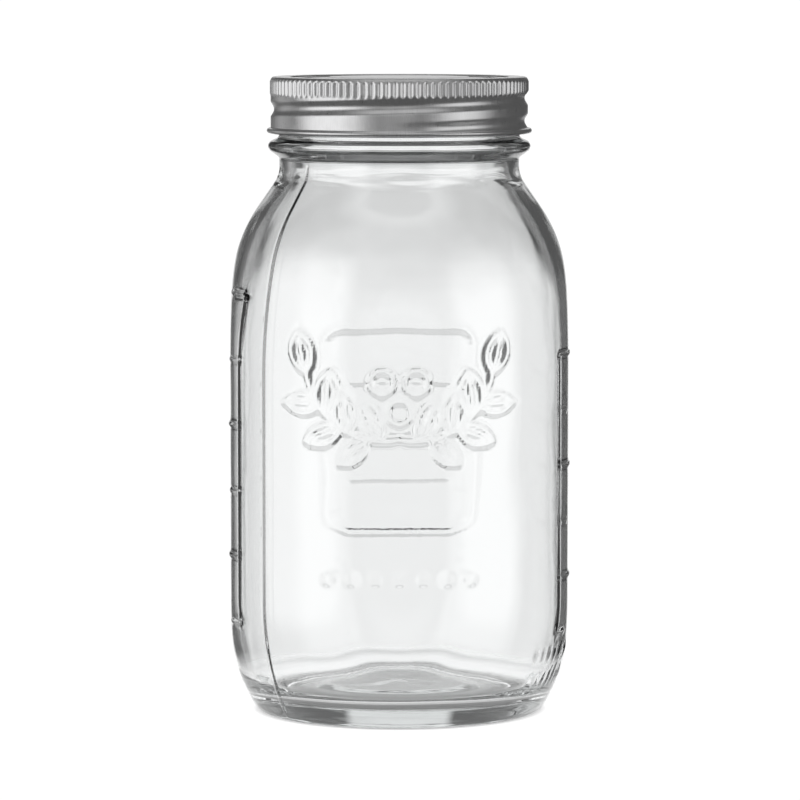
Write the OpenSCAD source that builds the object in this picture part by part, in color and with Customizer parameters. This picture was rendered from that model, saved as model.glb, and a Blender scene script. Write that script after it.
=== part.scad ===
// Quart canning jar with a two-piece screw closure.
// Millimetres. +Z is up and the origin is the centre of the bearing ring that the jar stands on.
// The front panel faces -Y and the two graduated side panels face +X and -X.
// The body is a solid of revolution whose four sides are cut flat, so its corners stay round.

/* [Jar body] */
// Height from the table to the glass rim
rim_z = 175.6; // [170:0.1:180]
// Radius of the body across its round corners
corner_r = 49.3; // [48.6:0.1:50]
// Distance from the axis to each flat panel
panel_d = 47.15; // [46.6:0.05:47.8]
// Thickness of the glass wall
wall_t = 3.0; // [2.6:0.1:3.4]
// Height at which the heel starts to curve in
heel_z = 34; // [30:1:38]
// Radius of the heel curve
heel_r = 66; // [62:1:72]
// Height at which the shoulder starts to curve in
shoulder_z = 95.2; // [92:0.1:98]
// Height of the glass floor above the table
floor_z = 6; // [5:0.5:8]

/* [Neck finish] */
// Radius of the mouth
throat_r = 30.2; // [29.5:0.1:30.5]
// Radius of the glass under the thread
root_r = 33.45; // [33.3:0.05:33.6]
// Radius over the glass thread
thread_r = 34.95; // [34.8:0.05:35]
// Rise of both threads in one turn
pitch = 6.35; // [6:0.05:6.5]
// Height of the middle of the bead under the closure
bead_z = 157.7; // [157:0.1:158]
// Radius over the bead
bead_r = 36.5; // [36:0.1:37]

/* [Closure] */
// Radius of the lid disc
lid_r = 34.0; // [33.6:0.1:34.2]
// Thickness of the tinplate
plate_t = 0.3; // [0.25:0.05:0.35]
// Radius over the plain wall of the screw band
band_r = 35.75; // [35.7:0.05:35.9]
// Height of the top of the screw band above the table
band_top_z = 177; // [176.9:0.1:177.2]
// Height of the lower edge of the screw band
band_low_z = 161.45; // [161.2:0.05:161.8]
// Radius of the opening in the top of the screw band
opening_r = 30.4; // [29.8:0.1:31]
// Number of ribs in the knurl
ribs = 106; // [90:1:120]

/* [Relief] */
// Height of the raised marks on the front and back
relief = 0.8; // [0.5:0.05:0.9]
// Height of the graduations on the side panels
tick_relief = 0.5; // [0.3:0.05:0.6]
// Width of the raised lines of the front and back marks
line_w = 1.5; // [1.2:0.1:2]

/* [Hidden] */
$fn = 96;
far = 60;

// Two arcs make the shoulder, and a hollow arc leads it into the neck.
upper_body_r = 144;
upper_body_turn = 12;
shoulder_r = 44.6;
shoulder_turn = 35.3;
neck_r = 33.35;
neck_fillet_r = 8;
neck_z = 152.2;
heel_corner_r = 3;
bearing_w = 4.5;
push_up = 2.4;
floor_fillet_r = 9;
throat_t = neck_r - throat_r;

// The glass thread lies this far above the thread of the band, so their flanks nearly touch.
thread_lift = 2;
band_thread_z = 164.75;
band_thread_r = 34.5;
bead_nose_r = 1.75;

// Graduations: 4 fluid ounces apart on the left panel and 100 millilitres apart on the right.
ounce_step = 18.2;
ounce_z = 26.7;
millilitre_step = 15.4;
millilitre_z = 24.1;
steps = 5;
tick_h = 0.9;
long_tick = 13;
rule_y = -22.3;

// Heights of the middles of the raised marks, and their sizes.
garland_z = 92;
studs_z = 42;
label_z = 74;
fruit_r = 3.2;
studs = 7;
stud_r = 2;
stud_step = 6.4;
label_w = 46;
label_h = 60;
label_corner_r = 6;
ruling_w = 34;
ruling_step = 14;

// The drawings of the marks are pushed through the glass from this far in front of the panel.
mark_depth = 20;
mark_start = 2;

// Band and lid.
hem_r = 0.75;
hem_c = 36.1;
knurl_z = 172;
knurl_h = 4;
rib_h = 0.25;
channel_r = 28.3;
lid_panel_r = 20;

function arc(c, r, from, to, n = 8) =
    [for (i = [0:n]) let (a = from + (to - from) * i / n) c + r * [cos(a), sin(a)]];
function along(a) = [cos(a), sin(a)];

heel_c = [corner_r - heel_r, heel_z];
upper_body_c = [corner_r - upper_body_r, shoulder_z];
shoulder_c = upper_body_c + (upper_body_r - shoulder_r) * along(upper_body_turn);
neck_c = [neck_r + neck_fillet_r, neck_z];
heel_corner_turn = asin((heel_z - heel_corner_r) / (heel_r - heel_corner_r));
bearing_r = heel_c.x + (heel_r - heel_corner_r) * cos(heel_corner_turn);
inner_heel_r = heel_r - wall_t;
floor_turn = asin((heel_z - floor_z - floor_fillet_r) / (inner_heel_r - floor_fillet_r));
floor_r = heel_c.x + (inner_heel_r - floor_fillet_r) * cos(floor_turn);

// Half of the jar's outline, from the centre of the base up to the rim.
outer_outline = concat(
    [[0, push_up], [20, push_up - 0.2], [31, push_up - 0.7], [bearing_r - bearing_w, 0]],
    arc([bearing_r, heel_corner_r], heel_corner_r, -90, -heel_corner_turn, 5),
    arc(heel_c, heel_r, -heel_corner_turn, 0, 9),
    arc(upper_body_c, upper_body_r, 0, upper_body_turn, 5),
    arc(shoulder_c, shoulder_r, upper_body_turn, shoulder_turn, 6),
    arc(neck_c, neck_fillet_r, 180 + shoulder_turn, 180, 6),
    [[neck_r, bead_z - 3.2]],
    arc([bead_r - bead_nose_r, bead_z], bead_nose_r, -57, 68, 10),
    [[root_r + 0.2, bead_z + 2.6], [root_r, bead_z + 3.2]],
    arc([root_r - 0.9, rim_z - 0.9], 0.9, 0, 90, 4),
    [[0, rim_z]]
);

// Half of the hollow, from the centre of the floor up through the mouth.
inner_outline = concat(
    [[0, floor_z + 1], [19.5, floor_z + 0.8], [22, floor_z + 0.1]],
    arc([floor_r, floor_z + floor_fillet_r], floor_fillet_r, -90, -floor_turn, 6),
    arc(heel_c, inner_heel_r, -floor_turn, 0, 7),
    arc(upper_body_c, upper_body_r - wall_t, 0, upper_body_turn, 5),
    arc(shoulder_c, shoulder_r - wall_t, upper_body_turn, shoulder_turn, 6),
    arc(neck_c, neck_fillet_r + throat_t, 180 + shoulder_turn, 180, 6),
    [[throat_r, rim_z - 0.8], [throat_r + 0.25, rim_z - 0.25], [throat_r + 0.8, rim_z]],
    [[throat_r + 0.8, rim_z + 1], [0, rim_z + 1]]
);

// A ridge or groove that climbs round the axis. shape holds [depth, height] pairs, with depth 0
// at the radius base_r, and the depth fades to a sliver over the first and last degrees.
module helix(base_r, shape, z0, from, to, fade, step = 7.5) {
    rings = ceil((to - from) / step);
    sides = len(shape);
    turn = [for (i = [0:rings]) from + (to - from) * i / rings];
    grow = [for (a = turn) max(0.06, min(1, (a - from) / fade, (to - a) / fade))];
    points = [
        for (i = [0:rings], p = shape)
            let (r = base_r + p.x * grow[i], z = z0 + pitch * turn[i] / 360 + p.y)
                [r * cos(turn[i]), r * sin(turn[i]), z]
    ];
    walls = [
        for (i = [0:rings - 1], j = [0:sides - 1])
            let (a = i * sides + j, b = i * sides + (j + 1) % sides)
                each [[a, a + sides, b], [b, a + sides, b + sides]]
    ];
    ends = [[for (j = [0:sides - 1]) j], [for (j = [sides - 1:-1:0]) rings * sides + j]];
    polyhedron(points, concat(walls, ends));
}

// Turns a drawing in X and Z into a raised mark that follows the glass on the -Y side.
module on_front(z) {
    intersection() {
        translate([0, mark_depth - mark_start - panel_d, z])
            rotate([90, 0, 0])
                linear_extrude(height = mark_depth)
                    children();
        cylinder(h = rim_z, r = corner_r + relief);
        translate([-far, -panel_d - relief, 0])
            cube([2 * far, far, rim_z]);
    }
}

// Points on a cubic curve.
function cubic(a, b, c, d, n) =
    [for (i = [0:n]) let (t = i / n, s = 1 - t)
        s * s * s * a + 3 * s * s * t * b + 3 * s * t * t * c + t * t * t * d];

// Widens a line of points into a ribbon.
module ribbon(p) {
    n = len(p) - 1;
    side = [for (i = [0:n]) let (d = p[min(i + 1, n)] - p[max(i - 1, 0)])
        [-d.y, d.x] / norm(d) * line_w / 2];
    polygon([for (i = [0:n]) p[i] + side[i], for (i = [n:-1:0]) p[i] - side[i]]);
}

// Outline of a pointed leaf with a middle vein, from its stalk at the origin along +X.
module leaf(length, width) {
    translate([length / 2, 0]) {
        difference() {
            leaf_shape(length + line_w, width + line_w);
            leaf_shape(length - 1.6 * line_w, width - line_w);
        }
        square([length * 0.6, line_w * 0.7], center = true);
    }
}

module leaf_shape(length, width) {
    r = (length * length + width * width) / (4 * width);
    intersection() {
        translate([0, r - width / 2])
            circle(r = r);
        translate([0, width / 2 - r])
            circle(r = r);
    }
}

// Leaves on a stem: for each one, the stem's point, the angle, the length and the width.
module leaves(stem, list) {
    for (k = list) {
        translate(stem[k[0]])
            rotate(k[1])
                leaf(k[2], k[3]);
    }
}

module fruit() {
    difference() {
        circle(r = fruit_r + line_w / 2);
        circle(r = fruit_r - line_w / 2);
    }
}

// One leafy spray, from the middle of the garland out to the right.
module spray() {
    stem = cubic([0, -12], [12, -14], [22, -8], [25, 6], 12);
    ribbon(stem);
    leaves(stem, [[2, 70, 12, 6], [5, 82, 12, 6], [8, 96, 12, 6], [12, 78, 11, 5.5],
                  [3, -42, 10, 5], [6, -22, 10, 5], [9, 5, 9, 5]]);
}

// Two mirrored sprays with three fruits between them, on the front panel.
module garland() {
    for (flip = [0, 1]) {
        mirror([flip, 0])
            spray();
    }
    for (p = [[0, -4.5], [-4.6, 3.5], [4.6, 3.5]]) {
        translate(p)
            fruit();
    }
}

// Row of round studs under the garland.
module stud_row() {
    for (i = [0:studs - 1]) {
        translate([(i - (studs - 1) / 2) * stud_step, 0])
            circle(r = stud_r);
    }
}

module rounded_square(w, h, r) {
    square([w - 2 * r, h], center = true);
    square([w, h - 2 * r], center = true);
    for (x = [-1, 1], z = [-1, 1]) {
        translate([x * (w / 2 - r), z * (h / 2 - r)])
            circle(r = r);
    }
}

// Blank frame for a label on the back panel, with three lines to write on.
module label_frame() {
    difference() {
        rounded_square(label_w, label_h, label_corner_r);
        rounded_square(label_w - 2 * line_w, label_h - 2 * line_w, label_corner_r - line_w);
    }
    for (i = [-1:1]) {
        translate([0, i * ruling_step])
            square([ruling_w, line_w], center = true);
    }
}

// The solid shape of the jar's outside, grown by d.
module outside(d) {
    half = panel_d + d;
    intersection() {
        rotate_extrude()
            polygon([for (p = outer_outline) [p.x > 0 ? p.x + d : 0, p.y]]);
        translate([-half, -half, -1])
            cube([2 * half, 2 * half, rim_z + 2]);
    }
}

// A rule up the corner and ticks that run from it onto the side panel, one at each step of the
// scale. side is 1 for +X and -1 for -X. Every other tick is short.
module graduations(side, first_z, step, short_tick) {
    start_x = 40;
    intersection() {
        outside(tick_relief);
        union() {
            for (i = [0:steps]) {
                w = i % 2 == 1 ? long_tick : short_tick;
                translate([side * start_x, rule_y + w / 2, first_z + i * step])
                    cube([start_x, w, tick_h], center = true);
            }
            translate([side * start_x, rule_y, first_z + steps * step / 2])
                cube([start_x, tick_h, steps * step], center = true);
        }
    }
}

// Moulded glass jar with its thread and raised marks.
module jar() {
    color([0.86, 0.90, 0.90, 0.35])
    difference() {
        union() {
            outside(0);
            glass_thread();
            graduations(1, millilitre_z, millilitre_step, 6);
            graduations(-1, ounce_z, ounce_step, 9);
            on_front(garland_z)
                garland();
            on_front(studs_z)
                stud_row();
            rotate(180)
                on_front(label_z)
                    label_frame();
        }
        jar_hollow();
    }
}

module glass_thread() {
    base_r = root_r - 0.3;
    d = thread_r - base_r;
    shape = [[0, -1.7], [0, 1.7], [0.4 * d, 1.25], [0.85 * d, 0.75], [d, 0.25],
             [d, -0.25], [0.85 * d, -0.75], [0.4 * d, -1.25]];
    helix(base_r, shape, band_thread_z + thread_lift, -80, 378, 34);
}

module jar_hollow() {
    inner_d = panel_d - wall_t + 0.5;
    intersection() {
        rotate_extrude()
            polygon(inner_outline);
        translate([-inner_d, -inner_d, 0])
            cube([2 * inner_d, 2 * inner_d, rim_z + 2]);
    }
}

// Flat tinplate lid with a pressed channel and a raised centre.
module lid_disc() {
    rim = band_top_z - plate_t - 0.1;
    top = [[lid_r, rim - 0.75], [lid_r, rim - 0.25], [lid_r - 0.25, rim], [channel_r + 1.3, rim],
           [channel_r + 0.7, rim - 0.75], [channel_r - 0.7, rim - 0.75],
           [channel_r - 1.5, rim - 0.2], [lid_panel_r + 0.8, rim - 0.1],
           [lid_panel_r, rim + 0.3], [0, rim + 0.45]];
    under = [for (i = [len(top) - 1:-1:3]) top[i] - [0, plate_t]];
    edge = [[lid_r - plate_t, rim - plate_t], [lid_r - plate_t, rim - 0.75]];
    color([0.80, 0.80, 0.80])
        rotate_extrude()
            polygon(concat(top, under, edge));
}

// Soft ring under the lid's rim that seals on the glass.
module sealing_ring() {
    low = rim_z + 0.05;
    high = band_top_z - 2 * plate_t - 0.1;
    color([0.62, 0.60, 0.58])
        rotate_extrude()
            polygon([[30.8, high], [31.0, low + 0.2], [31.3, low], [33.2, low],
                     [33.5, low + 0.2], [33.65, high]]);
}

// Rolled screw band: an open top, a knurled collar, a thread and a curled hem.
module screw_band() {
    inner = band_r - plate_t;
    color([0.72, 0.72, 0.73])
    difference() {
        union() {
            rotate_extrude()
                polygon([
                    [inner, band_low_z + hem_r], [band_r, band_low_z + hem_r],
                    [band_r, band_top_z - 0.9], [band_r - 0.35, band_top_z - 0.25],
                    [band_r - 0.95, band_top_z], [opening_r, band_top_z],
                    [opening_r, band_top_z - plate_t], [band_r - 1.05, band_top_z - plate_t],
                    [inner - 0.3, band_top_z - 0.7], [inner, band_top_z - 1.1]
                ]);
            rotate_extrude()
                translate([hem_c, band_low_z + hem_r])
                    circle(r = hem_r);
            knurl();
            band_thread();
        }
        band_groove();
    }
}

module knurl() {
    translate([0, 0, knurl_z])
        linear_extrude(height = knurl_h)
            difference() {
                polygon([
                    for (i = [0:ribs - 1], p = [[0, 0], [0.3, 1], [0.5, 1], [0.8, 0]])
                        (band_r - 0.1 + p.y * rib_h) * along(360 * (i + p.x) / ribs)
                ]);
                circle(r = band_r - plate_t);
            }
}

module band_thread() {
    base_r = band_r - plate_t / 2;
    d = base_r - band_thread_r;
    shape = [[0, 1.8], [0, -1.8], [-0.4 * d, -1.3], [-0.9 * d, -0.75], [-d, -0.3],
             [-d, 0.3], [-0.9 * d, 0.75], [-0.4 * d, 1.3]];
    helix(base_r, shape, band_thread_z, -95, 395, 38);
}

module band_groove() {
    base_r = band_r + 0.6;
    d = base_r - band_thread_r - plate_t;
    shape = [[0, 1.9], [0, -1.9], [-0.4 * d, -1.35], [-0.75 * d, -0.95], [-d, -0.35],
             [-d, 0.35], [-0.75 * d, 0.95], [-0.4 * d, 1.35]];
    helix(base_r, shape, band_thread_z, -95, 395, 38);
}

jar();
lid_disc();
sealing_ring();
screw_band();
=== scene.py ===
"""A quart canning jar with its sealing lid and screw band, on a white floor in soft studio light.

Shapes are worked out in millimetres from the CAD boxes and made into meshes in metres.
Angles turn anticlockwise about +Z, seen from above, and start at +X. The front panel faces -Y.
"""
import math

import bpy
import numpy as np
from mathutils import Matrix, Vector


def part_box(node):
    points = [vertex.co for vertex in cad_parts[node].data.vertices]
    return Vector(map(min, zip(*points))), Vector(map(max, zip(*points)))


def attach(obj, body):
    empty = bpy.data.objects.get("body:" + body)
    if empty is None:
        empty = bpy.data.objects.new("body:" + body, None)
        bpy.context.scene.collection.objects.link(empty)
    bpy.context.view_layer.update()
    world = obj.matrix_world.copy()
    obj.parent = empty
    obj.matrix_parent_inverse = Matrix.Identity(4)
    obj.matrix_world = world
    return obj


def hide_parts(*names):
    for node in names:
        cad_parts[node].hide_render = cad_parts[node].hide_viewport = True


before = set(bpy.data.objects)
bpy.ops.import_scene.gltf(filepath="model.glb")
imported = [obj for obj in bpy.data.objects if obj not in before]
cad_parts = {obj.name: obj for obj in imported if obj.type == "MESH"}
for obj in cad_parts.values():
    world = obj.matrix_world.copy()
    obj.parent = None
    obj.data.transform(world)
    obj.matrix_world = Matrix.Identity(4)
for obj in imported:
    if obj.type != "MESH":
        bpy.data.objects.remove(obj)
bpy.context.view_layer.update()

MM = 0.001
TAU = 2 * math.pi
FRONT = 270.0
BACK = 90.0
RIGHT = 0.0
LEFT = 180.0


def cad_mm(node):
    """Lowest and highest corner of a CAD node, in millimetres."""
    low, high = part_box(node)
    return [c / MM for c in low], [c / MM for c in high]


JAR_HIGH = cad_mm("jar")[1]
BAND_LOW, BAND_HIGH = cad_mm("screw_band")
LID_LOW, LID_HIGH = cad_mm("lid_disc")
SEAL_LOW, SEAL_HIGH = cad_mm("sealing_ring")

# Jar body
RELIEF = 0.5
PANEL = JAR_HIGH[0] - RELIEF
MARK_H = JAR_HIGH[1] - PANEL
CORNER = PANEL + 2.15
RIM_Z = JAR_HIGH[2]
WALL = 3.0
EDGE_SOFTNESS = 0.8
HEEL_Z = 34.0
HEEL_R = 66.0
HEEL_CORNER_R = 3.0
SHOULDER_Z = 95.2
UPPER_BODY_R = 144.0
UPPER_BODY_TURN = 12.0
SHOULDER_R = 44.6
SHOULDER_TURN = 35.3
FLOOR_Z = 6.0
FLOOR_FILLET_R = 9.0
SEAMS = ((221.0, 0.3), (41.0, 0.03))

# Raised marks
GARLAND_Z = 92.0
STUDS_Z = 42.0
STUDS = 7
STUD_STEP = 6.4
STUD_R = 2.8
LABEL_Z = 74.0
LABEL_W = 46.0
LABEL_H = 60.0
LABEL_CORNER_R = 6.0
RULING_W = 34.0
RULING_STEP = 14.0
FRUIT_R = 3.2
HEEL_ROWS = (18.5, 11.5)
OUNCES = [26.7 + 18.2 * i for i in range(6)]
MILLILITRES = [24.1 + 15.4 * i for i in range(6)]
RULE_Y = -22.3
RULE_TURN = 27.0
LONG_TICK = 13.0

# Neck finish
NECK_R = 33.35
NECK_FILLET_R = 8.0
NECK_Z = 152.2
THROAT_R = 30.2
ROOT_R = 33.45
THREAD_R = 34.95
BEAD_Z = 157.7
BEAD_R = 36.5
BEAD_NOSE_R = 1.75
PITCH = 6.35
BAND_THREAD_Z = 164.75
GLASS_THREAD_Z = BAND_THREAD_Z + 2.0
# First angle, last angle, and the degrees over which each end of the thread fades
GLASS_THREAD_TURN = (-80, 378, 34)
BAND_THREAD_TURN = (-95, 395, 38)

# Closure
PLATE = 0.3
HEM_R = 0.75
BAND_OUT_R = BAND_HIGH[0] - 1.1
BAND_TOP = BAND_HIGH[2]
BAND_BOTTOM = BAND_LOW[2]
OPENING_R = 30.4
GROOVE_DEPTH = 0.95
RIBS = 106
KNURL_LOW = 171.7
KNURL_HIGH = 176.2
LID_R = LID_HIGH[0]


# ---------------------------------------------------------------- outlines and grids

def arc(centre, radius, start, end, n=24):
    """Points on an arc, from one angle in degrees to another."""
    a = np.radians(np.linspace(start, end, n))
    return np.stack([centre[0] + radius * np.cos(a), centre[1] + radius * np.sin(a)], 1)


def point(centre, radius, angle):
    return arc(centre, radius, angle, angle, 1)[0]


def outline(*parts):
    """Joins points and arcs into one outline, dropping repeated points."""
    p = np.concatenate([np.atleast_2d(np.asarray(q, float)) for q in parts])
    keep = np.r_[True, np.hypot(*np.diff(p, axis=0).T) > 1e-6]
    return p[keep]


def resample(path, spacing):
    """Points along an outline, where spacing gives the step at each (radius, height)."""
    seg = np.diff(path, axis=0)
    length = np.hypot(seg[:, 0], seg[:, 1])
    s = np.r_[0, np.cumsum(length)]
    fine = np.linspace(0, s[-1], int(s[-1] / 0.02) + 2)
    r = np.interp(fine, s, path[:, 0])
    z = np.interp(fine, s, path[:, 1])
    density = 1 / np.array([spacing(a, b) for a, b in zip(r, z)])
    count = np.r_[0, np.cumsum((density[1:] + density[:-1]) / 2 * np.diff(fine))]
    n = int(round(count[-1]))
    at = np.interp(np.linspace(0, count[-1], n + 1), count, fine)
    return np.stack([np.interp(at, s, path[:, 0]), np.interp(at, s, path[:, 1])], 1)


def uneven_angles(spacing):
    """Angles in degrees round the axis, where spacing gives the step at each angle."""
    fine = np.linspace(0, 360, 14401)
    density = 1 / np.array([spacing(a) for a in fine])
    count = np.r_[0, np.cumsum((density[1:] + density[:-1]) / 2 * np.diff(fine))]
    n = int(round(count[-1]))
    return np.interp(np.arange(n) * count[-1] / n, count, fine)


def apart(a, b):
    """How far apart two angles are, in degrees."""
    return np.abs((np.asarray(a) - b + 180) % 360 - 180)


def grid_object(name, rings, closed_loop=False):
    """A mesh from rings of points (row, column, xyz) in millimetres. A row whose points all meet
    becomes one point. closed_loop joins the last row to the first."""
    rows, cols = rings.shape[:2]
    single = [bool(np.ptp(rings[i, :, :2], axis=0).max() < 1e-6) for i in range(rows)]
    starts, points = [], []
    total = 0
    for i in range(rows):
        starts.append(total)
        points.append(rings[i, :1] if single[i] else rings[i])
        total += 1 if single[i] else cols
    faces = []
    j = np.arange(cols)
    k = (j + 1) % cols
    for i in range(rows if closed_loop else rows - 1):
        n = (i + 1) % rows
        if single[i]:
            quad = np.stack([np.full(cols, starts[i]), starts[n] + k, starts[n] + j], 1)
        elif single[n]:
            quad = np.stack([starts[i] + j, starts[i] + k, np.full(cols, starts[n])], 1)
        else:
            quad = np.stack([starts[i] + j, starts[i] + k, starts[n] + k, starts[n] + j], 1)
        faces += quad.tolist()
    mesh = bpy.data.meshes.new(name)
    mesh.from_pydata((np.concatenate(points) * MM).tolist(), [], faces)
    mesh.shade_smooth()
    mesh.update()
    obj = bpy.data.objects.new(name, mesh)
    bpy.context.scene.collection.objects.link(obj)
    return obj


def spin(profile, angles, radius=None):
    """Rings from a profile of (radius, height) rows; radius may give each point's own radius."""
    a = np.radians(angles)
    r = np.repeat(profile[:, :1], len(angles), 1) if radius is None else radius
    z = np.repeat(profile[:, 1:], len(angles), 1)
    return np.stack([r * np.cos(a), r * np.sin(a), z], 2)


def fade(turn, first, last, run):
    """1 between two angles, and down to 0 over the last degrees at each end."""
    t = np.clip(np.minimum(turn - first, last - turn) / run, 0, 1)
    return t * t * (3 - 2 * t)


def bump(distance, half_width):
    """A softly blended ridge: 1 on its line and 0 from half_width outwards."""
    t = np.clip(np.abs(distance) / half_width, 0, 1)
    return (1 - t * t) ** 1.5


def ridge(distance, half_width):
    """A round bead with a small foot: 1 on its line and 0 from half_width outwards."""
    t = np.clip(np.abs(distance) / half_width, 0, 1)
    return (1 - t * t) ** 0.65


def helix_ridge(angles, z, z0, first, last, run, half_width):
    """Height, 0 to 1, of a thread that climbs one pitch a turn, at each (height, angle)."""
    out = np.zeros(np.broadcast(angles, z).shape)
    for lap in range(-2, 3):
        turn = angles + 360 * lap
        lap_height = bump(z - (z0 + PITCH * turn / 360), half_width) * fade(turn, first, last, run)
        out = np.maximum(out, lap_height)
    return out


# ---------------------------------------------------------------- raised marks on the glass

def curve(p0, p1, p2, p3, n):
    """Points on a cubic curve, n steps from end to end."""
    t = np.linspace(0, 1, n + 1)[:, None]
    p0, p1, p2, p3 = (np.array(p, float) for p in (p0, p1, p2, p3))
    return (1 - t) ** 3 * p0 + 3 * (1 - t) ** 2 * t * p1 + 3 * (1 - t) * t * t * p2 + t ** 3 * p3


def ring_line(centre, radius):
    """A closed circle of points."""
    return arc(centre, radius, 0, 360, 40)


def leaf_lines(base, angle, length, width):
    """The two edges and the middle vein of a pointed leaf."""
    a = math.radians(angle)
    along = np.array([math.cos(a), math.sin(a)])
    side = np.array([-math.sin(a), math.cos(a)])
    r = (length ** 2 + width ** 2) / (4 * width)
    u = np.linspace(-length / 2, length / 2, 18)[:, None]
    swell = np.sqrt(r * r - u * u) - (r - width / 2)
    middle = np.array(base) + (u + length / 2) * along
    vein = np.array(base) + np.array([[0.2], [0.8]]) * length * along
    return [middle + swell * side, middle - swell * side, vein]


def height_of(lines, half_width, x, z):
    """Height, 0 to 1, of a rounded line at each point, from its distance to the nearest stretch."""
    best = np.full(x.shape, 1e9)
    for line in lines:
        low = line.min(0) - half_width
        high = line.max(0) + half_width
        near = (x > low[0]) & (x < high[0]) & (z > low[1]) & (z < high[1])
        px, pz = x[near], z[near]
        if not len(px):
            continue
        d = np.full(px.shape, 1e9)
        for (ax, az), (bx, bz) in zip(line[:-1], line[1:]):
            ux, uz = bx - ax, bz - az
            t = np.clip(((px - ax) * ux + (pz - az) * uz) / (ux * ux + uz * uz + 1e-12), 0, 1)
            d = np.minimum(d, np.hypot(px - ax - t * ux, pz - az - t * uz))
        best[near] = np.minimum(best[near], d)
    return ridge(best, half_width)


def garland_lines():
    """Two mirrored leafy sprays with three round fruits between them, on the front panel."""
    stem = curve((0, -12), (12, -14), (22, -8), (25, 6), 12)
    spray = [stem]
    for i, angle, length, width in ((2, 70, 12, 6), (5, 82, 12, 6), (8, 96, 12, 6),
                                    (12, 78, 11, 5.5), (3, -42, 10, 5), (6, -22, 10, 5),
                                    (9, 5, 9, 5)):
        spray += leaf_lines(stem[i], angle, length, width)
    lines = spray + [line * (-1, 1) for line in spray]
    lines += [ring_line(centre, FRUIT_R) for centre in ((0, -4.5), (-4.6, 3.5), (4.6, 3.5))]
    return [line + (0, GARLAND_Z) for line in lines]


def stud_places():
    """The middle of each stud in the row under the garland."""
    return [((i - (STUDS - 1) / 2) * STUD_STEP, STUDS_Z) for i in range(STUDS)]


def label_lines():
    """A blank label frame with round corners and three lines to write on, on the back panel."""
    r = LABEL_CORNER_R
    x, z = LABEL_W / 2 - r, LABEL_H / 2 - r
    corners = [arc((x, z), r, 0, 90, 9), arc((-x, z), r, 90, 180, 9),
               arc((-x, -z), r, 180, 270, 9), arc((x, -z), r, 270, 360, 9)]
    edge = np.concatenate(corners + [corners[0][:1]])
    lines = [edge]
    for i in (-1, 0, 1):
        lines.append(np.array([(-RULING_W / 2, i * RULING_STEP), (RULING_W / 2, i * RULING_STEP)]))
    return [line + (0, LABEL_Z) for line in lines]


def side_marks(y, z, heights, short):
    """A rule up the corner, and ticks that run from it onto the side panel."""
    out = bump(y - RULE_Y, 0.75) * (z > heights[0]) * (z < heights[-1])
    for i, height in enumerate(heights):
        width = LONG_TICK if i % 2 == 1 else short
        inside = np.clip((y - RULE_Y) / 0.5, 0, 1) * np.clip((RULE_Y + width - y) / 0.8, 0, 1)
        out = np.maximum(out, ridge(z - height, 0.8) * inside)
    return out


def waves(angles, z, scale, seed, most_lobes=7):
    """Slow unevenness of the blown glass, -1 to 1."""
    random = np.random.default_rng(seed)
    a = np.radians(angles)
    out = np.zeros(np.broadcast(a, z).shape)
    for _ in range(9):
        lobes = random.integers(1, most_lobes)
        climb = random.uniform(-1, 1) * TAU / scale
        out = out + np.sin(lobes * a + climb * z + random.uniform(0, TAU))
    return out / 4.5


# ---------------------------------------------------------------- jar

def jar_outlines():
    heel_c = (CORNER - HEEL_R, HEEL_Z)
    upper_c = (CORNER - UPPER_BODY_R, SHOULDER_Z)
    shoulder_c = point(upper_c, UPPER_BODY_R - SHOULDER_R, UPPER_BODY_TURN)
    neck_c = (NECK_R + NECK_FILLET_R, NECK_Z)
    corner_turn = math.degrees(math.asin((HEEL_Z - HEEL_CORNER_R) / (HEEL_R - HEEL_CORNER_R)))
    bearing_r = heel_c[0] + (HEEL_R - HEEL_CORNER_R) * math.cos(math.radians(corner_turn))
    inner_heel_r = HEEL_R - WALL
    floor_reach = inner_heel_r - FLOOR_FILLET_R
    floor_turn = math.degrees(math.asin((HEEL_Z - FLOOR_Z - FLOOR_FILLET_R) / floor_reach))
    floor_r = heel_c[0] + floor_reach * math.cos(math.radians(floor_turn))
    throat_t = NECK_R - THROAT_R
    outer = outline(
        [(0, 2.4), (20, 2.2), (30, 1.8), (32, 1.2), (bearing_r - 4.5, 0.05), (bearing_r - 4.2, 0)],
        arc((bearing_r, HEEL_CORNER_R), HEEL_CORNER_R, -90, -corner_turn, 10),
        arc(heel_c, HEEL_R, -corner_turn, 0),
        arc(upper_c, UPPER_BODY_R, 0, UPPER_BODY_TURN),
        arc(shoulder_c, SHOULDER_R, UPPER_BODY_TURN, SHOULDER_TURN),
        arc(neck_c, NECK_FILLET_R, 180 + SHOULDER_TURN, 180),
        [(NECK_R, BEAD_Z - 3.5), (NECK_R + 0.25, BEAD_Z - 3.0)],
        arc((BEAD_R - BEAD_NOSE_R, BEAD_Z), BEAD_NOSE_R, -57, 68),
        [(ROOT_R + 0.35, BEAD_Z + 2.3), (ROOT_R + 0.05, BEAD_Z + 2.9), (ROOT_R, BEAD_Z + 3.6)],
        arc((ROOT_R - 0.9, RIM_Z - 0.9), 0.9, 0, 90, 8),
    )
    inner = outline(
        arc((THROAT_R + 0.9, RIM_Z - 0.9), 0.9, 90, 180, 8),
        arc(neck_c, NECK_FILLET_R + throat_t, 180, 180 + SHOULDER_TURN),
        arc(shoulder_c, SHOULDER_R - WALL, SHOULDER_TURN, UPPER_BODY_TURN),
        arc(upper_c, UPPER_BODY_R - WALL, UPPER_BODY_TURN, 0),
        arc(heel_c, inner_heel_r, 0, -floor_turn),
        arc((floor_r, FLOOR_Z + FLOOR_FILLET_R), FLOOR_FILLET_R, -floor_turn, -90),
        [(24, FLOOR_Z), (21.5, FLOOR_Z + 0.3), (19, FLOOR_Z + 0.85), (0, FLOOR_Z + 1)],
    )
    return outer, inner


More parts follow.
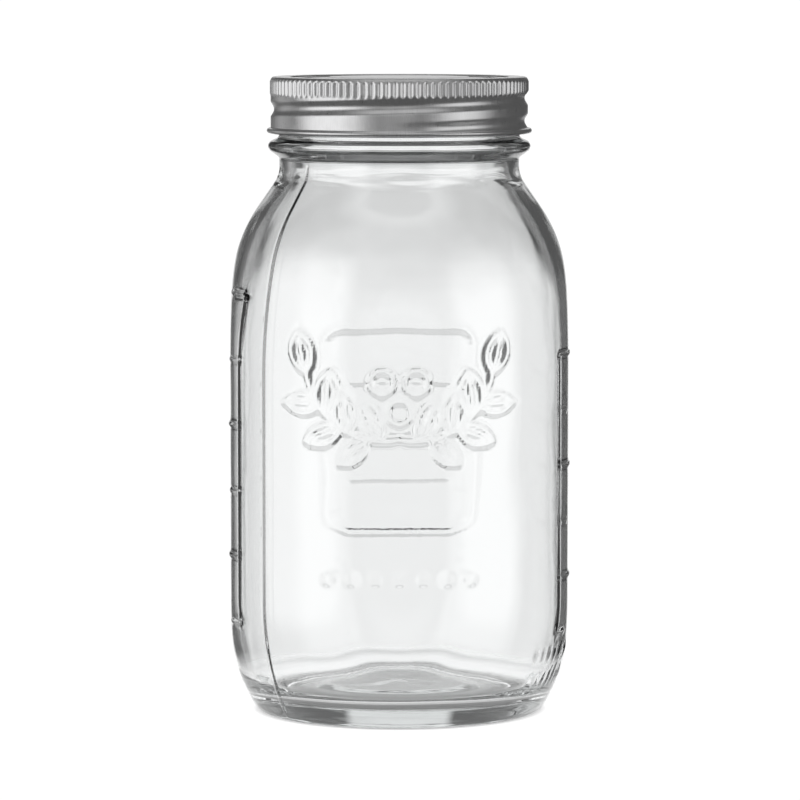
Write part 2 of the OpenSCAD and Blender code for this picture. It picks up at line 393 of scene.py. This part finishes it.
def outer_step(r, z):
    if r < 36 and z < 4:
        return 2.2
    if min(abs(z - t) for t in OUNCES + MILLILITRES) < 0.9:
        return 0.5
    if z > 150:
        return 0.55
    if abs(z - STUDS_Z) < STUD_R:
        return 0.6
    if z > 112:
        return 1.7
    if 35 < z < 110:
        return 0.85
    return 1.3


def inner_step(r, z):
    if z < 30:
        return 1.6
    if 144 < z < 151.5:
        return 0.4
    return 2.5 if z > 110 else 4.0


def jar_column_step(a):
    if apart(a, FRONT) < 39:
        return 0.8
    if apart(a, BACK) < 33:
        return 1.15
    if min(apart(a, s) for s, _ in SEAMS) < 1.6:
        return 0.3
    if apart(a, RIGHT - RULE_TURN) < 1.3 or apart(a, LEFT + RULE_TURN) < 1.3:
        return 0.4
    return 1.15 if apart(a, RIGHT - 25) < 14 else 2.3


def squared(radius, panel, angles):
    """Radius of a round section whose four sides are flattened, with soft edges."""
    from_panel = np.radians((angles + 45) % 90 - 45)
    flat = panel / np.cos(from_panel)
    k = EDGE_SOFTNESS
    return -k * np.logaddexp(-radius / k, -flat / k)


def make_jar():
    outer, inner = jar_outlines()
    outer = resample(outer, outer_step)
    inner = resample(inner, inner_step)
    angles = uneven_angles(jar_column_step)
    r = squared(outer[:, :1], PANEL, angles)
    z = np.repeat(outer[:, 1:], len(angles), 1)
    a = np.radians(angles)
    x, y = r * np.cos(a), r * np.sin(a)

    facing_front = (apart(angles, FRONT) < 60)[None, :] & (z > 20)
    facing_back = (apart(angles, BACK) < 60)[None, :] & (z > 20)
    rise = np.zeros(r.shape)
    xf, zf = x[facing_front], z[facing_front]
    rise[facing_front] += 0.98 * MARK_H * height_of(garland_lines(), 1.05, xf, zf)
    rise[facing_back] += 0.8 * MARK_H * height_of(label_lines(), 1.2, x[facing_back], z[facing_back])
    for stud_x, stud_z in stud_places():
        dome = 0.95 * MARK_H * bump(np.hypot(x - stud_x, z - stud_z), STUD_R)
        rise = np.maximum(rise, np.where(facing_front, dome, 0))
    right = (apart(angles, RIGHT) < 33)[None, :]
    left = (apart(angles, LEFT) < 33)[None, :]
    rise += RELIEF * np.where(right, side_marks(y, z, MILLILITRES, 6), 0)
    rise += RELIEF * np.where(left, side_marks(y, z, OUNCES, 9), 0)
    around = angles - 360 * (angles > 180)
    for row_z in HEEL_ROWS:
        for k in range(7):
            near = np.hypot((around + 37 - 4 * k) * 0.8, (z - row_z) * 0.42)
            rise = np.maximum(rise, 0.35 * bump(near, 1.0))
    body = np.clip((z - 1) / 4, 0, 1) * np.clip((153 - z) / 3, 0, 1)
    for seam, high in SEAMS:
        rise += high * bump(apart(angles, seam)[None, :], 1.2) * body
    thread = helix_ridge(angles, z, GLASS_THREAD_Z, *GLASS_THREAD_TURN, 1.7)
    rise += (THREAD_R - ROOT_R) * thread
    outer_rings = spin(outer, angles, np.maximum(r + rise, 0))

    ri = squared(inner[:, :1], PANEL - WALL + 0.5, angles)
    zi = np.repeat(inner[:, 1:], len(angles), 1)
    wall_part = np.clip((zi - 8) / 20, 0, 1) * np.clip((150 - zi) / 12, 0, 1)
    corners = np.sin(2 * a) ** 2
    ri = ri + 0.14 * waves(angles, zi, 90, 3) * wall_part
    ri = ri + 0.10 * waves(angles, zi, 26, 8, 17) * wall_part * corners
    for middle, gap, wander in ((149.6, 1.5, 3), (148.2, 0.9, 5), (147.2, 1.1, 4)):
        height = middle + 0.35 * np.cos(wander * a + middle) + 0.2 * np.cos(11 * a + 2 * middle)
        ri = ri - 0.10 * bump(zi - height, gap) * (0.6 + 0.4 * np.cos(7 * a + middle))
    inner_rings = spin(inner, angles, np.maximum(ri, 0))
    floor_part = np.clip((9 - zi) / 3, 0, 1) * np.clip(ri / 12, 0, 1)
    inner_rings[:, :, 2] += 0.10 * waves(angles, ri, 40, 5) * floor_part
    outer_rings[0, :, :2] = 0
    inner_rings[-1, :, :2] = 0
    inner_rings[-1, :, 2] = inner_rings[-1, 0, 2]
    obj = grid_object("jar_glass", np.concatenate([outer_rings, inner_rings]))
    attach(obj, "jar")
    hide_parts("jar")
    return obj


# ---------------------------------------------------------------- screw band

def band_profile():
    """The band's sheet as one closed loop: up the outside, over the top and down the inside."""
    inner = BAND_OUT_R - PLATE
    hem_c = (BAND_HIGH[0] - HEM_R, BAND_BOTTOM + HEM_R)
    outside = outline(
        arc(hem_c, HEM_R, 118, -180, 22)[::-1],
        [(BAND_OUT_R, BAND_BOTTOM + 2.0), (BAND_OUT_R, BAND_TOP - 1.3)],
        arc((BAND_OUT_R - 1.1, BAND_TOP - 1.1), 1.1, 0, 90, 10),
        [(OPENING_R + 0.2, BAND_TOP - 0.02), (OPENING_R, BAND_TOP - 0.15)],
    )
    inside = outline(
        [(OPENING_R + 0.05, BAND_TOP - PLATE), (BAND_OUT_R - 1.2, BAND_TOP - PLATE)],
        arc((BAND_OUT_R - 1.1, BAND_TOP - 1.1), 0.8, 90, 0, 8),
        [(inner, BAND_BOTTOM + 1.2)],
    )
    return outside, inside


def make_band():
    outside, inside = band_profile()
    step = lambda r, z: 0.3 if z < BAND_BOTTOM + 2 else (0.42 if r > BAND_OUT_R - 1.3 else 1.4)
    outside = resample(outside, step)
    inside = resample(inside, lambda r, z: 0.55 if r > BAND_OUT_R - 1.6 else 1.6)
    profile = np.concatenate([outside, inside])
    cols = RIBS * 8
    angles = np.arange(cols) * 360 / cols
    r = np.repeat(profile[:, :1], cols, 1)
    z = np.repeat(profile[:, 1:], cols, 1)
    on_wall = (r > BAND_OUT_R - 0.9) & (z > BAND_BOTTOM + 1.3)
    groove = helix_ridge(angles, z, BAND_THREAD_Z, *BAND_THREAD_TURN, 2.1)
    r = r - GROOVE_DEPTH * np.where(on_wall, groove, 0)
    rib = np.abs(np.sin(np.radians(angles * RIBS / 2)))
    knurl_z = np.clip((z - KNURL_LOW) / 0.5, 0, 1) * np.clip((KNURL_HIGH - z) / 0.5, 0, 1)
    knurl_z = knurl_z * knurl_z * (3 - 2 * knurl_z)
    outer_wall = np.zeros((len(profile), 1), bool)
    outer_wall[: len(outside)] = True
    r = r + np.where(on_wall, knurl_z * (0.58 * rib - 0.38), 0) * np.where(outer_wall, 1, 0.6)
    obj = grid_object("screw_band_tinplate", spin(profile, angles, r), closed_loop=True)
    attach(obj, "band")
    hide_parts("screw_band")
    return obj


# ---------------------------------------------------------------- lid and sealing ring

def make_lid():
    top = LID_HIGH[2] - 0.45
    upper = outline(
        [(0, top + 0.45), (19.2, top + 0.32)], arc((19.2, top - 0.1), 0.42, 90, 20, 6),
        [(20.6, top - 0.1), (26.2, top - 0.18)], arc((26.4, top - 0.6), 0.42, 90, 10, 6),
        [(27.5, top - 0.75), (28.6, top - 0.75)], arc((29.2, top - 0.4), 0.4, 190, 100, 6),
        [(30.2, top), (LID_R - 0.4, top)], arc((LID_R - 0.35, top - 0.35), 0.35, 90, 0, 6),
        [(LID_R, LID_LOW[2] + 0.4)],
    )
    lower = upper[::-1] - (0, PLATE)
    lower = lower[lower[:, 0] < LID_R - 0.5]
    edge = [(LID_R - 0.02, LID_LOW[2]), (LID_R - PLATE, LID_LOW[2]), (LID_R - PLATE, top - 0.7)]
    path = outline(upper, edge, lower)
    step = lambda r, z: 0.35 if r > 18 else 2.4
    rows = resample(path, step)
    angles = np.arange(288) * 360 / 288
    obj = grid_object("lid_tinplate", spin(rows[::-1], angles))
    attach(obj, "lid")
    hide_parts("lid_disc")
    return obj


def make_seal():
    low, high = SEAL_LOW[2], SEAL_HIGH[2]
    path = outline(
        [(30.85, high)], arc((31.45, low + 0.35), 0.42, 180, 270, 6),
        arc((33.05, low + 0.35), 0.42, 270, 360, 6), [(33.65, high)], [(30.85, high)],
    )
    rows = resample(path, lambda r, z: 0.16)[:-1]
    angles = np.arange(256) * 360 / 256
    obj = grid_object("sealing_ring_compound", spin(rows, angles), closed_loop=True)
    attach(obj, "lid")
    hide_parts("sealing_ring")
    return obj


# ---------------------------------------------------------------- materials

class Nodes:
    """A material's node tree, built one named step at a time."""

    def __init__(self, name):
        self.material = bpy.data.materials.new(name)
        self.material.use_nodes = True
        self.tree = self.material.node_tree
        self.tree.nodes.clear()

    def add(self, kind, inputs=(), **settings):
        node = self.tree.nodes.new(kind)
        for key, value in settings.items():
            setattr(node, key, value)
        for key, value in dict(inputs).items():
            if isinstance(value, bpy.types.NodeSocket):
                self.tree.links.new(value, node.inputs[key])
            else:
                node.inputs[key].default_value = value
        return node

    def math(self, operation, a, b=0.0):
        return self.add("ShaderNodeMath", {0: a, 1: b}, operation=operation).outputs[0]

    def range(self, value, low, high, to_low, to_high):
        inputs = {"Value": value, "From Min": low, "From Max": high, "To Min": to_low, "To Max": to_high}
        return self.add("ShaderNodeMapRange", inputs).outputs[0]

    def noise(self, vector, scale, detail=3.0, roughness=0.5):
        inputs = {"Vector": vector, "Scale": scale, "Detail": detail, "Roughness": roughness}
        return self.add("ShaderNodeTexNoise", inputs).outputs["Fac"]

    def combine(self, x, y, z):
        return self.add("ShaderNodeCombineXYZ", {"X": x, "Y": y, "Z": z}).outputs[0]

    def bump(self, height, strength, distance):
        inputs = {"Height": height, "Strength": strength, "Distance": distance}
        return self.add("ShaderNodeBump", inputs).outputs[0]

    def finish(self, surface, volume=None):
        out = self.add("ShaderNodeOutputMaterial")
        self.tree.links.new(surface.outputs[0], out.inputs["Surface"])
        if volume:
            self.tree.links.new(volume.outputs[0], out.inputs["Volume"])
        return self.material


def glass_material():
    n = Nodes("clear_glass")
    place = n.add("ShaderNodeTexCoord").outputs["Object"]
    slow = n.noise(place, 45.0, 2.0)
    fine = n.noise(place, 900.0, 2.0)
    uneven = n.math("ADD", slow, n.math("MULTIPLY", fine, 0.02))
    surface = n.add("ShaderNodeBsdfPrincipled", {
        "Base Color": (0.985, 0.99, 0.99, 1),
        "Roughness": 0.0,
        "IOR": 1.52,
        "Transmission Weight": 1.0,
        "Normal": n.bump(uneven, 0.12, 0.0012),
    })
    volume = n.add("ShaderNodeVolumeAbsorption", {"Color": (0.80, 0.83, 0.83, 1), "Density": 10.0})
    return n.finish(surface, volume)


def tinplate_material(name, base, streaks):
    """Bright tinplate with fine streaks round the axis, drawn upright, and light scuffing."""
    n = Nodes(name)
    place = n.add("ShaderNodeTexCoord").outputs["Object"]
    split = n.add("ShaderNodeSeparateXYZ", {0: place})
    x, y, z = (split.outputs[i] for i in range(3))
    turn = n.math("ARCTAN2", y, x)
    flow = n.combine(n.math("COSINE", turn), n.math("SINE", turn), n.math("MULTIPLY", z, 1.2))
    drawn = n.noise(flow, 260.0, 3.0, 0.6)
    broad = n.noise(flow, 9.0, 2.0)
    scuffs = n.noise(place, 350.0, 4.0, 0.6)
    tone = n.math("ADD", n.range(drawn, 0.3, 0.7, -streaks, streaks), n.range(broad, 0.3, 0.7, -0.03, 0.03))
    value = n.math("ADD", tone, base)
    colour = n.combine(value, value, n.math("MULTIPLY", value, 1.005))
    rough = n.math("ADD", n.range(drawn, 0.3, 0.7, 0.26, 0.36), n.range(scuffs, 0.4, 0.8, 0.0, 0.08))
    surface = n.add("ShaderNodeBsdfPrincipled", {
        "Base Color": colour,
        "Metallic": 1.0,
        "Roughness": rough,
        "Normal": n.bump(drawn, 0.25, 0.00006),
    })
    return n.finish(surface)


def compound_material():
    n = Nodes("sealing_compound")
    place = n.add("ShaderNodeTexCoord").outputs["Object"]
    grain = n.noise(place, 1500.0, 3.0)
    value = n.range(grain, 0.3, 0.7, 0.46, 0.54)
    surface = n.add("ShaderNodeBsdfPrincipled", {
        "Base Color": n.combine(value, n.math("MULTIPLY", value, 0.97), n.math("MULTIPLY", value, 0.93)),
        "Roughness": n.range(grain, 0.3, 0.7, 0.5, 0.65),
        "Normal": n.bump(grain, 0.2, 0.0001),
    })
    return n.finish(surface)


# ---------------------------------------------------------------- studio

CAMERA_BACK = 1.288
CAMERA_UP = 0.204
CAMERA_TILT = 5.204
CAMERA_LENS = 208.2
WHITE = (1, 1, 1, 1)
FLOOR_GLOW = 0.95
# Floor emission under the jar, far below FLOOR_GLOW: painted shade where the jar stands
UNDER_JAR_PAINTED_SHADE_GLOW = 0.11
AROUND = 0.09
FLOOR_RADIUS = 0.3
FLOOR_SIDES = 96


def make_camera():
    data = bpy.data.cameras.new("camera")
    data.lens = CAMERA_LENS
    data.sensor_width = 36.0
    cam = bpy.data.objects.new("camera", data)
    cam.location = (0.0002, -CAMERA_BACK, CAMERA_UP)
    cam.rotation_euler = (math.radians(90 - CAMERA_TILT), 0, 0)
    bpy.context.scene.collection.objects.link(cam)
    bpy.context.scene.camera = cam
    return cam


def soft_emission(name, strength, soft):
    """Even light that falls off towards the card's edges, over the share of it that soft gives."""
    n = Nodes(name)
    split = n.add("ShaderNodeSeparateXYZ", {0: n.add("ShaderNodeUVMap").outputs[0]})
    level = strength
    for i in range(2):
        edge = n.math("MINIMUM", split.outputs[i], n.math("SUBTRACT", 1.0, split.outputs[i]))
        inputs = {"Value": edge, "From Max": soft}
        share = n.add("ShaderNodeMapRange", inputs, interpolation_type="SMOOTHSTEP").outputs[0]
        level = n.math("MULTIPLY", share, level)
    light = n.add("ShaderNodeEmission", {"Color": WHITE, "Strength": level})
    clear = n.add("ShaderNodeBsdfTransparent")
    return n.finish(n.add("ShaderNodeAddShader", {0: light.outputs[0], 1: clear.outputs[0]}))


def card(name, camera, turn, lift, distance, width, height, strength, soft):
    """A soft panel that faces the jar and stays with the camera, as a studio's lights do when the
    object is turned. turn is its angle from the camera, positive to the right, and lift its angle
    above the line of sight."""
    t, e = math.radians(turn), math.radians(lift)
    out = np.array([math.sin(t) * math.cos(e), math.sin(e), math.cos(t) * math.cos(e)])
    across = np.array([math.cos(t), 0.0, -math.sin(t)])
    up = np.cross(out, across)
    centre = distance * out - (0, 0, CAMERA_BACK)
    corners = [centre + sx * across * width / 2 + sy * up * height / 2
               for sx, sy in ((-1, -1), (1, -1), (1, 1), (-1, 1))]
    mesh = bpy.data.meshes.new(name)
    mesh.from_pydata([tuple(c) for c in corners], [], [(0, 1, 2, 3)])
    layer = mesh.uv_layers.new(name="card")
    for i, uv in enumerate(((0, 0), (1, 0), (1, 1), (0, 1))):
        layer.data[i].uv = uv
    mesh.materials.append(soft_emission(name, strength, soft))
    obj = bpy.data.objects.new(name, mesh)
    bpy.context.scene.collection.objects.link(obj)
    obj.parent = camera
    obj.visible_camera = False
    return obj


def make_floor():
    n = Nodes("white_floor")
    place = n.add("ShaderNodeTexCoord").outputs["Object"]
    far = n.add("ShaderNodeVectorMath", {0: place}, operation="LENGTH").outputs["Value"]
    speckle = n.noise(place, 240.0, 4.0)
    shade = n.range(speckle, 0, 1, 0.62, 0.66)
    diffuse = n.add("ShaderNodeBsdfDiffuse", {"Color": n.combine(shade, shade, shade)})
    # The floor's glow falls from FLOOR_GLOW to a low level within about 36.5 to 41.5 mm of the middle:
    # painted shade under the jar, seen through the glass base
    light = n.range(far, 0.0365, 0.0415, UNDER_JAR_PAINTED_SHADE_GLOW, FLOOR_GLOW)
    glow_with_painted_shade = n.add("ShaderNodeEmission", {"Color": WHITE, "Strength": light})
    both = n.add("ShaderNodeAddShader", {0: diffuse.outputs[0], 1: glow_with_painted_shade.outputs[0]})
    clear = n.add("ShaderNodeBsdfTransparent")
    edge = n.range(far, 0.05, 0.085, 0.0, 1.0)
    mix = n.add("ShaderNodeMixShader", {0: edge, 1: both.outputs[0], 2: clear.outputs[0]})
    material = n.finish(mix)
    mesh = bpy.data.meshes.new("floor")
    angles = np.radians(np.arange(FLOOR_SIDES) * 360 / FLOOR_SIDES)
    edge_points = [(FLOOR_RADIUS * math.cos(a), FLOOR_RADIUS * math.sin(a), 0.0) for a in angles]
    mesh.from_pydata(edge_points, [], [tuple(range(FLOOR_SIDES))])
    mesh.materials.append(material)
    obj = bpy.data.objects.new("floor", mesh)
    bpy.context.scene.collection.objects.link(obj)


def make_world():
    world = bpy.data.worlds.new("studio")
    bpy.context.scene.world = world
    world.use_nodes = True
    tree = world.node_tree
    tree.nodes.clear()
    seen = tree.nodes.new("ShaderNodeLightPath")
    level = tree.nodes.new("ShaderNodeMapRange")
    level.inputs["To Min"].default_value = AROUND
    level.inputs["To Max"].default_value = 1.05
    back = tree.nodes.new("ShaderNodeBackground")
    back.inputs["Color"].default_value = WHITE
    out = tree.nodes.new("ShaderNodeOutputWorld")
    tree.links.new(seen.outputs["Is Camera Ray"], level.inputs["Value"])
    tree.links.new(level.outputs[0], back.inputs["Strength"])
    tree.links.new(back.outputs[0], out.inputs["Surface"])


def make_studio():
    cam = make_camera()
    card("backdrop", cam, 180, -6, 0.95, 0.82, 0.52, 0.93, 0.2)
    card("backdrop_upper", cam, 180, 33, 0.9, 0.5, 1.0, 0.71, 0.12)
    card("softbox_left", cam, -64, 4, 0.8, 1.3, 0.95, 1.0, 0.25)
    card("fill_left", cam, -128, 4, 0.8, 0.5, 0.8, 0.35, 0.3)
    card("softbox_right", cam, 58, 4, 0.8, 0.9, 0.95, 0.8, 0.25)
    card("fill_front", cam, 0, 12, 1.0, 0.9, 1.0, 0.36, 0.3)
    card("softbox_top", cam, 0, 66, 0.8, 1.2, 0.9, 0.5, 0.3)
    make_floor()
    make_world()
    scene = bpy.context.scene
    scene.view_settings.view_transform = "Standard"
    scene.cycles.max_bounces = 32
    scene.cycles.transmission_bounces = 28
    scene.cycles.glossy_bounces = 12
    scene.cycles.transparent_max_bounces = 16


def paint(obj, material):
    obj.data.materials.clear()
    obj.data.materials.append(material)


make_studio()
paint(make_jar(), glass_material())
paint(make_band(), tinplate_material("band_tinplate", 0.80, 0.05))
paint(make_lid(), tinplate_material("lid_tinplate", 0.74, 0.02))
paint(make_seal(), compound_material())
